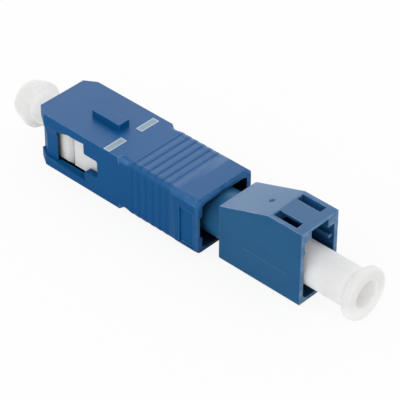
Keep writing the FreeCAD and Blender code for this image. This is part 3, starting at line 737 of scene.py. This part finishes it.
def run_out_lip(across, upward, centre=14.87, reach=0.79, inset=0.03, steps=8):
    """The path of the lip round the front of a corner run-out.

    It goes from the side over the corner to the top or bottom, on an arc of 1 mm round a station.
    """
    reaches = [reach * k / steps for k in range(steps + 1)]
    points = [(centre - math.sqrt(1 - far * far / 2), 0, far) for far in reversed(reaches)]
    points += [(x, far, 0) for x, _, far in reversed(points[:-1])]
    return [Vector((
        x,
        across * (PLUG_WIDTH / 2 - inset - inward),
        upward * (PLUG_HEIGHT / 2 - inset - downward),
    )) for x, inward, downward in points]


# Geometry Nodes trees

def new_tree(name, sizes, counts=()):
    """A Geometry Nodes tree with named sizes and counts, a finish, and one geometry output."""
    tree = bpy.data.node_groups.new(name, "GeometryNodeTree")
    kinds = {
        **dict.fromkeys(sizes, "NodeSocketFloat"),
        **dict.fromkeys(counts, "NodeSocketInt"),
        "Finish": "NodeSocketMaterial",
    }
    for label, kind in kinds.items():
        tree.interface.new_socket(label, in_out="INPUT", socket_type=kind)
    tree.interface.new_socket("Geometry", in_out="OUTPUT", socket_type="NodeSocketGeometry")
    return group_ends(tree)


def finish_tree(tree, given, result, geometry):
    """A tree's end: real geometry, shaded smooth, with its finish."""
    real = add(tree, "GeometryNodeRealizeInstances")
    smooth = add(tree, "GeometryNodeSetShadeSmooth")
    finish = add(tree, "GeometryNodeSetMaterial")
    join(
        tree,
        (geometry, real.inputs["Geometry"]),
        (real.outputs["Geometry"], smooth.inputs["Geometry"]),
        (smooth.outputs["Geometry"], finish.inputs["Geometry"]),
        (given["Finish"], finish.inputs["Material"]),
        (finish.outputs["Geometry"], result["Geometry"]),
    )
    return tree


def grown_mesh(name, tree, values):
    """The plain mesh that a tree grows from its inputs."""
    holder = bpy.data.objects.new(name, bpy.data.meshes.new(name))
    scene.collection.objects.link(holder)
    modifier = holder.modifiers.new("grow", "NODES")
    modifier.node_group = tree
    for item in tree.interface.items_tree:
        if item.in_out == "INPUT" and item.name in values:
            modifier[item.identifier] = values[item.name]
    depsgraph = bpy.context.evaluated_depsgraph_get()
    mesh = bpy.data.meshes.new_from_object(holder.evaluated_get(depsgraph))
    holder.modifiers.remove(modifier)
    empty = holder.data
    bpy.data.objects.remove(holder)
    bpy.data.meshes.remove(empty)
    mesh.name = name
    return mesh


# Shares in the rule of the grip ribs.
SLEEVE_STOP = 0.705  # of a pitch, from the sleeve's end to where one more groove would be
CORNER_FULL = 0.7  # of the corner's radius, where a run-out has its full depth
DISH_FLAT = 0.3  # of the dish length, where a run-out begins to rise
DISH_PALE = 0.45  # of the dish length, where its rubbed tone and painted highlight begin to fade
TUCK_END = 0.9  # of the dish length, where the flats begin to come up to the skin
EDGE_SHARE = 0.94  # of the way out to the square edge, where the run-out's slope starts
DISH_RUB_AND_HIGHLIGHT = (0.7, 0.15)  # how strongly a run-out, and the corners behind it, take the paler rim tone, which is partly a painted highlight


def rib_tree():
    """A sleeve round the grip, with soft valleys that repeat along the axis.

    The valleys cross the rounded corners less deeply. Each corner has a dished run-out in front.
    """
    tree, given, result = new_tree("grip ribs", (
        "Width", "Height", "Corner", "Fade", "Front", "Dish", "Dish length", "Slope", "First",
        "Pitch", "Drop", "Rise", "Top depth", "Side depth", "Corner depth", "Lift", "Corner lift",
        "Tuck", "Back tuck", "Back tuck length",
    ), ("Count",))

    def sum_of(first, second):
        return maths(tree, "ADD", first, second)

    def less(first, second):
        return maths(tree, "SUBTRACT", first, second)

    def times(first, second):
        return maths(tree, "MULTIPLY", first, second)

    def lower(first, second):
        return maths(tree, "MINIMUM", first, second)

    def higher(first, second):
        return maths(tree, "MAXIMUM", first, second)

    place = add(tree, "ShaderNodeSeparateXYZ")
    join(tree, (add(tree, "GeometryNodeInputPosition").outputs[0], place.inputs[0]))
    station = place.outputs["X"]
    back = sum_of(given["First"], times(given["Pitch"], less(given["Count"], SLEEVE_STOP)))
    to_back = less(back, station)
    past_front = less(station, given["Front"])

    # The valleys: a short drop and a long rise round each groove, closed off at the back.
    turn = maths(tree, "DIVIDE", less(station, given["First"]), given["Pitch"])
    nearest = higher(maths(tree, "ROUND", turn), 0.0)
    aside = times(less(turn, nearest), given["Pitch"])
    dropping = span(tree, aside, (less(0.0, given["Drop"]), 0.0), (0.0, 1.0))
    rising = span(tree, aside, (0.0, given["Rise"]), (1.0, 0.0))
    closing = span(tree, to_back, (0.0, given["Rise"]), (0.0, 1.0))
    valley = lower(lower(dropping, rising), closing)

    def past_flat(coordinate, size):
        """How far a point lies past the flat of a face, negative on the flat."""
        flat = less(times(size, 0.5), given["Corner"])
        return less(maths(tree, "ABSOLUTE", coordinate), flat)

    def on_flat(past):
        """1 on the flat of a face, down to 0 at its corners."""
        return span(tree, past, (less(0.0, given["Fade"]), 0.0), (1.0, 0.0), smooth=True)

    past_top = past_flat(place.outputs["Y"], given["Width"])
    past_side = past_flat(place.outputs["Z"], given["Height"])
    on_top = on_flat(past_top)
    on_side = on_flat(past_side)
    on_corner = less(less(1.0, on_top), on_side)
    depth = sum_of(times(on_top, given["Top depth"]), times(on_side, given["Side depth"]))
    depth = sum_of(depth, times(on_corner, given["Corner depth"]))
    lift = sum_of(given["Lift"], times(on_corner, given["Corner lift"]))

    # The run-outs, with the flats between them tucked under the skin.
    def dish_from(share, values, smooth=False):
        """A value that changes from a share of the dish length to its end."""
        start = times(given["Dish length"], share)
        return span(tree, past_front, (start, given["Dish length"]), values, smooth)

    into_corner = span(
        tree, lower(past_top, past_side), (0.0, times(given["Corner"], CORNER_FULL)), (0.0, 1.0))
    run_out = dish_from(DISH_FLAT, (given["Dish"], 0.0), smooth=True)
    hidden = dish_from(TUCK_END, (given["Tuck"], 0.0))
    front_dive = sum_of(times(into_corner, run_out), times(less(1.0, into_corner), hidden))
    square = less(maths(tree, "DIVIDE", given["Corner"], higher(past_top, past_side)), 1.0)
    to_edge = sum_of(times(square, given["Corner"]), times(into_corner, given["Dish"]))
    slope = span(tree, past_front, (0.0, given["Slope"]), (1.0, 0.0), smooth=True)
    front_rise = times(times(to_edge, EDGE_SHARE), slope)
    back_dive = span(
        tree, to_back, (0.0, given["Back tuck length"]), (given["Back tuck"], 0.0), smooth=True)
    rise = less(
        less(sum_of(lift, front_rise), times(valley, depth)), sum_of(front_dive, back_dive))
    # Painted highlight: the run-outs, and a little the corners behind them, take the paler rim
    # tone.
    rubbed_and_highlight = times(into_corner, dish_from(DISH_PALE, DISH_RUB_AND_HIGHLIGHT, smooth=True))

    section = add(tree, "GeometryNodeCurvePrimitiveQuadrilateral")
    corner = add(tree, "GeometryNodeFilletCurve", {"Count": 8, "Limit Radius": True}, mode="POLY")
    outline = add(tree, "GeometryNodeResampleCurve", {"Count": 220})
    start = add(tree, "ShaderNodeCombineXYZ")
    end = add(tree, "ShaderNodeCombineXYZ")
    axis = add(tree, "GeometryNodeCurvePrimitiveLine")
    stations = add(tree, "GeometryNodeResampleCurve", {"Count": 140})
    level = add(tree, "GeometryNodeSetCurveNormal", mode="Z_UP")
    sweep = add(tree, "GeometryNodeCurveToMesh")
    mark = add(
        tree, "GeometryNodeStoreNamedAttribute", {"Name": "rim"}, data_type="FLOAT",
        domain="POINT")
    outward = add(tree, "ShaderNodeVectorMath", operation="SCALE")
    shift = add(tree, "GeometryNodeSetPosition")
    join(
        tree,
        (given["Width"], section.inputs["Width"]),
        (given["Height"], section.inputs["Height"]),
        (section.outputs["Curve"], corner.inputs["Curve"]),
        (given["Corner"], corner.inputs["Radius"]),
        (corner.outputs["Curve"], outline.inputs["Curve"]),
        (given["Front"], start.inputs["X"]),
        (back, end.inputs["X"]),
        (start.outputs[0], axis.inputs["Start"]),
        (end.outputs[0], axis.inputs["End"]),
        (axis.outputs["Curve"], stations.inputs["Curve"]),
        (stations.outputs["Curve"], level.inputs["Curve"]),
        (level.outputs["Curve"], sweep.inputs["Curve"]),
        (outline.outputs["Curve"], sweep.inputs["Profile Curve"]),
        (sweep.outputs["Mesh"], mark.inputs["Geometry"]),
        (rubbed_and_highlight, mark.inputs["Value"]),
        (mark.outputs["Geometry"], shift.inputs["Geometry"]),
        (add(tree, "GeometryNodeInputNormal").outputs[0], outward.inputs[0]),
        (rise, outward.inputs["Scale"]),
        (outward.outputs[0], shift.inputs["Offset"]),
    )
    return finish_tree(tree, given, result, shift.outputs["Geometry"])


def coil_tree():
    """A round-wire coil about the optical axis."""
    tree, given, result = new_tree("coil spring", ("Turns", "Radius", "Wire", "Front", "Length"))
    coil = add(tree, "GeometryNodeCurveSpiral", {"Resolution": 40})
    wire = add(tree, "GeometryNodeCurvePrimitiveCircle", {"Resolution": 16})
    sweep = add(tree, "GeometryNodeCurveToMesh", {"Fill Caps": True})
    front = add(tree, "ShaderNodeCombineXYZ")
    lay = add(tree, "GeometryNodeTransform", {"Rotation": (0.0, math.pi / 2, 0.0)})
    join(
        tree,
        (given["Turns"], coil.inputs["Rotations"]),
        (given["Radius"], coil.inputs["Start Radius"]),
        (given["Radius"], coil.inputs["End Radius"]),
        (given["Length"], coil.inputs["Height"]),
        (given["Wire"], wire.inputs["Radius"]),
        (coil.outputs["Curve"], sweep.inputs["Curve"]),
        (wire.outputs["Curve"], sweep.inputs["Profile Curve"]),
        (given["Front"], front.inputs["X"]),
        (front.outputs[0], lay.inputs["Translation"]),
        (sweep.outputs["Mesh"], lay.inputs["Geometry"]),
    )
    return finish_tree(tree, given, result, lay.outputs["Geometry"])


# Pieces

# Where edges are treated apart: ranges of station, reach to either side, and reach up or down.
RECESS_EDGES = ((23.5, 26.0), (4.4, 4.6), (0.0, 3.1))
WINDOW_EDGES = ((3.0, 9.5), (3.4, 4.6), (0.0, 2.8))
GRIP_CORNERS = ((13.8, 22.2), (3.6, 4.6), (2.8, 3.8))
SLEEVE_FRONT = 15.9
SLEEVE_BACK = 22.12

sc_housing = clean_copy("sc_outer_housing")
soften_windows(sc_housing, ease=0.25, stations=(4.5, 12.5), half_height=2.65, wall=3)
round_rims(sc_housing, ease=0.1, boxes=[RECESS_EDGES], inside=True)
round_rims(sc_housing, ease=0.04, boxes=[WINDOW_EDGES, GRIP_CORNERS])
sink_skin(sc_housing, SLEEVE_FRONT, SLEEVE_BACK, depth=0.16)
stretch_flare(sc_housing, SLEEVE_BACK, FLARE_BACK, reach=23.5, corner=0.7, side_share=0.5)
# Painted highlight on the rear end and on the corners behind the grip, by the way their faces look.
paint_facing_highlight(sc_housing, front=SC_END - END_DEPTH, level=0.3, chosen=faces_back)
paint_facing_highlight(sc_housing, front=21.9, level=0.3, chosen=faces_corner)
place_moulding(sc_housing, "sc_outer_housing", "sc_housing_shell", "grip")

lc_housing = clean_copy("lc_housing")
round_rims(lc_housing, ease=0.06)
# Painted highlight on the faces at the mouth that look along the axis.
paint_facing_highlight(lc_housing, front=LC_END - END_DEPTH, level=0.75, chosen=faces_back)
place_moulding(lc_housing, "lc_housing", "lc_housing_shell", "body")

plug_frame = clean_copy("sc_plug_frame")
round_rims(plug_frame, ease=0.05)
place_moulding(plug_frame, "sc_plug_frame", "plug_frame_shell", "body")

# Painted highlight: the beads round the run-outs are pale.
lip_paths = [run_out_lip(across, upward) for across in (-1, 1) for upward in (-1, 1)]
place_piece(
    bead_mesh("run_out_lips", lip_paths, radius=0.05, level=0.9), "grip", "sc_housing_plastic")

# Station and height of the fine frame in the recess, which is open towards the grip.
RECESS_FRAME = (
    (23.86, 1.92), (25.66, 1.92), (25.72, 1.90), (25.74, 1.84),
    (25.74, -2.8), (25.72, -2.86), (25.66, -2.88), (23.86, -2.88),
)
RECESS_FRAME_SIDE = -4.46
frame_path = [Vector((x, RECESS_FRAME_SIDE, z)) for x, z in RECESS_FRAME]
# Painted highlight: the fine frame in the recess is a pale bead.
place_piece(
    bead_mesh("recess_frame", [frame_path], radius=0.06, level=0.8), "grip", "sc_housing_plastic")

# Station and height of the ends of the parting line on each side.
PARTING_LINE = ((30.94, -0.28), (38.52, -0.38))
PARTING_SIDE = LC_HALF_WIDTH - 0.015
parting_paths = [
    [Vector((x, across * PARTING_SIDE, z)) for x, z in PARTING_LINE] for across in (-1, 1)]
# Painted highlight: the parting lines are paler beads.
place_piece(
    bead_mesh("lc_parting_lines", parting_paths, radius=0.035, level=0.4),
    "body", "lc_housing_plastic")

GATE_STATION = 33.4
RAMP_RISE = LC_TOP - LC_REAR_TOP
gate_level = LC_REAR_TOP + RAMP_RISE * (GATE_STATION - LC_FRONT) / RAMP_LENGTH
gate_mark = pip_mesh(
    "lc_gate_mark", Vector((GATE_STATION, 0.0, gate_level)),
    Vector((-RAMP_RISE, 0, RAMP_LENGTH)).normalized(), radius=0.38, height=0.06)
gate_mark.materials.append(GATE_SCAR_AND_SHADE)
place_piece(gate_mark, "body", "lc_housing_plastic")

# Station, radius and rounding of the corners of the two turned caps.
LC_PLUG_OUTLINE = [
    (35.4, 0, 0),
    (35.4, 1.5, 0.1),
    (31.6, 1.5, 0.08),
    (31.6, 2.385, 0.2),
    (45.7, 2.385, 0.5),
    (46.25, 2.8, 0.1),
    (46.25, 3.22, 0.25),
    (47.35, 3.22, 0.32),
    (47.35, 1.92, 0.15),
    (47.13, 1.7, 0.15),
    (42.35, 1.7, 0.3),
    (42.35, 0, 0),
]
SC_CAP_OUTLINE = [
    (-6.2, 0, 0),
    (-6.2, 2.33, 0.4),
    (-4.1, 2.95, 0.12),
    (-3.6, 2.95, 0.15),
    (-3.6, 2.1, 0.1),
    (4.2, 2.1, 0.15),
    (4.2, 1.27, 0.1),
    (-2.3, 1.27, 0.1),
    (-2.3, 0, 0),
]
# Painted light: the plug's body is paler up to its flange.
place_piece(
    turned_mesh("lc_plug_turned", LC_PLUG_OUTLINE, painted_light_to=45.6),
    "lc_plug", "cap_plastic", ["lc_dust_plug"])
place_piece(
    turned_mesh("sc_cap_turned", SC_CAP_OUTLINE), "sc_cap", "cap_plastic", ["sc_dust_cap"])

place_piece(grown_mesh("grip_ribs", rib_tree(), {
    "Width": PLUG_WIDTH * MM,
    "Height": PLUG_HEIGHT * MM,
    "Corner": GRIP_CORNER * MM,
    "Fade": 0.4 * MM,
    "Front": 13.85 * MM,
    "Dish": 0.22 * MM,
    "Dish length": 2.0 * MM,
    "Slope": 0.7 * MM,
    "First": GROOVE_FIRST * MM,
    "Pitch": GROOVE_PITCH * MM,
    "Count": GROOVE_COUNT,
    "Drop": 0.24 * MM,
    "Rise": 0.62 * MM,
    "Top depth": 0.055 * MM,
    "Side depth": 0.055 * MM,
    "Corner depth": 0.045 * MM,
    "Lift": 0.004 * MM,
    "Corner lift": 0.01 * MM,
    "Tuck": 0.02 * MM,
    "Back tuck": 0.01 * MM,
    "Back tuck length": 0.06 * MM,
    "Finish": FINISHES["sc_housing_plastic"],
}), "grip", "sc_housing_plastic")

coil = place_piece(grown_mesh("coil_spring", coil_tree(), {
    "Turns": SPRING_TURNS,
    "Radius": SPRING_RADIUS * MM,
    "Wire": SPRING_WIRE / 2 * MM,
    "Front": (SPRING_FRONT + SPRING_WIRE / 2) * MM,
    "Length": (SPRING_BACK - SPRING_FRONT - SPRING_WIRE) * MM,
    "Finish": FINISHES["spring_steel"],
}), "body", "spring_steel", ["ferrule_spring"])
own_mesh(coil)


# Floor, light and camera: places and sizes are in metres here, apart from the floor's level and gap
# and the camera's lens and sensor

PART_MIDDLE = (0.02, 0.0, 0.0)


def seen_plainly(tree):
    """1 for the rays of the camera, and for those in gloss and glass."""
    rays = add(tree, "ShaderNodeLightPath").outputs
    seen = maths(tree, "MAXIMUM", rays["Is Camera Ray"], rays["Is Glossy Ray"])
    return maths(tree, "MAXIMUM", seen, rays["Is Transmission Ray"])


def white_floor(half_edge=2.0, gap=0.02, whiteness=0.88):
    """A pale floor that the camera and reflections see as white, with a light shadow left on it.

    A fine gap, in millimetres, lies between it and the part.
    """
    level = (FLOOR_LEVEL - gap) * MM
    signs = ((-1, -1), (1, -1), (1, 1), (-1, 1))
    mesh = bpy.data.meshes.new("floor")
    mesh.from_pydata(
        [(half_edge * x, half_edge * y, level) for x, y in signs], [], [(0, 1, 2, 3)])
    floor = bpy.data.objects.new("floor", mesh)
    scene.collection.objects.link(floor)
    material = bpy.data.materials.new("floor_white")
    material.use_nodes = True
    tree = material.node_tree
    tree.nodes.clear()
    paint = add(tree, "ShaderNodeBsdfDiffuse", {"Color": (0.92, 0.92, 0.92, 1.0)})
    white = add(tree, "ShaderNodeEmission", {"Color": (1.0, 1.0, 1.0, 1.0), "Strength": 1.0})
    mix = add(tree, "ShaderNodeMixShader")
    out = add(tree, "ShaderNodeOutputMaterial")
    join(
        tree,
        (maths(tree, "MULTIPLY", seen_plainly(tree), whiteness), mix.inputs[0]),
        (paint.outputs[0], mix.inputs[1]),
        (white.outputs[0], mix.inputs[2]),
        (mix.outputs[0], out.inputs["Surface"]),
    )
    mesh.materials.append(material)


def studio_sky(strength):
    """Even light from all round, which the camera and reflections see as white."""
    world = bpy.data.worlds.new("studio")
    world.use_nodes = True
    tree = world.node_tree
    background = tree.nodes["Background"]
    fill(background, {"Color": (1.0, 1.0, 1.0, 1.0)})
    seen = span(tree, seen_plainly(tree), (0.0, 1.0), (strength, 1.0))
    join(tree, (seen, background.inputs["Strength"]))
    scene.world = world


def soft_box(name, place, size, watts, diffuse):
    """A square soft light that points at the part; as a card it shows in the gloss alone."""
    lamp = bpy.data.lights.new(name, "AREA")
    lamp.size = size
    lamp.energy = watts
    holder = bpy.data.objects.new(name, lamp)
    holder.visible_diffuse = diffuse
    holder.location = place
    aim = Vector(PART_MIDDLE) - Vector(place)
    holder.rotation_euler = aim.to_track_quat("-Z", "Y").to_euler()
    scene.collection.objects.link(holder)


white_floor()
studio_sky(strength=0.96)
soft_box("back_card", (-0.32, 0.31, 0.22), size=0.55, watts=6.5, diffuse=False)
soft_box("front_card", (-0.25, -0.31, 0.29), size=0.55, watts=2.4, diffuse=False)
soft_box("front_light", (-0.05, -0.35, 0.30), size=0.3, watts=0.15, diffuse=True)

# Camera at the photograph's angle, with its angles in radians.
CAMERA_AZIMUTH = 0.754482
CAMERA_ELEVATION = 0.666980
CAMERA_ROLL = 0.003329
CAMERA_PLACE = (0.152434, -0.138170, 0.148967)
CAMERA_LENS = 190.185
CAMERA_SENSOR = 36.0
CAMERA_NEAREST = 0.001

back = Vector((
    math.sin(CAMERA_AZIMUTH) * math.cos(CAMERA_ELEVATION),
    -math.cos(CAMERA_AZIMUTH) * math.cos(CAMERA_ELEVATION),
    math.sin(CAMERA_ELEVATION),
))
level_right = Vector((0, 0, 1)).cross(back).normalized()
level_up = back.cross(level_right)
right = level_right * math.cos(CAMERA_ROLL) + level_up * math.sin(CAMERA_ROLL)
up = back.cross(right)
camera = bpy.data.objects.new("camera", bpy.data.cameras.new("camera"))
camera.data.sensor_width = CAMERA_SENSOR
camera.data.lens = CAMERA_LENS
camera.data.clip_start = CAMERA_NEAREST
camera.matrix_world = Matrix((*zip(right, up, back, CAMERA_PLACE), (0, 0, 0, 1)))
scene.collection.objects.link(camera)
scene.camera = camera
scene.view_settings.view_transform = "Standard"
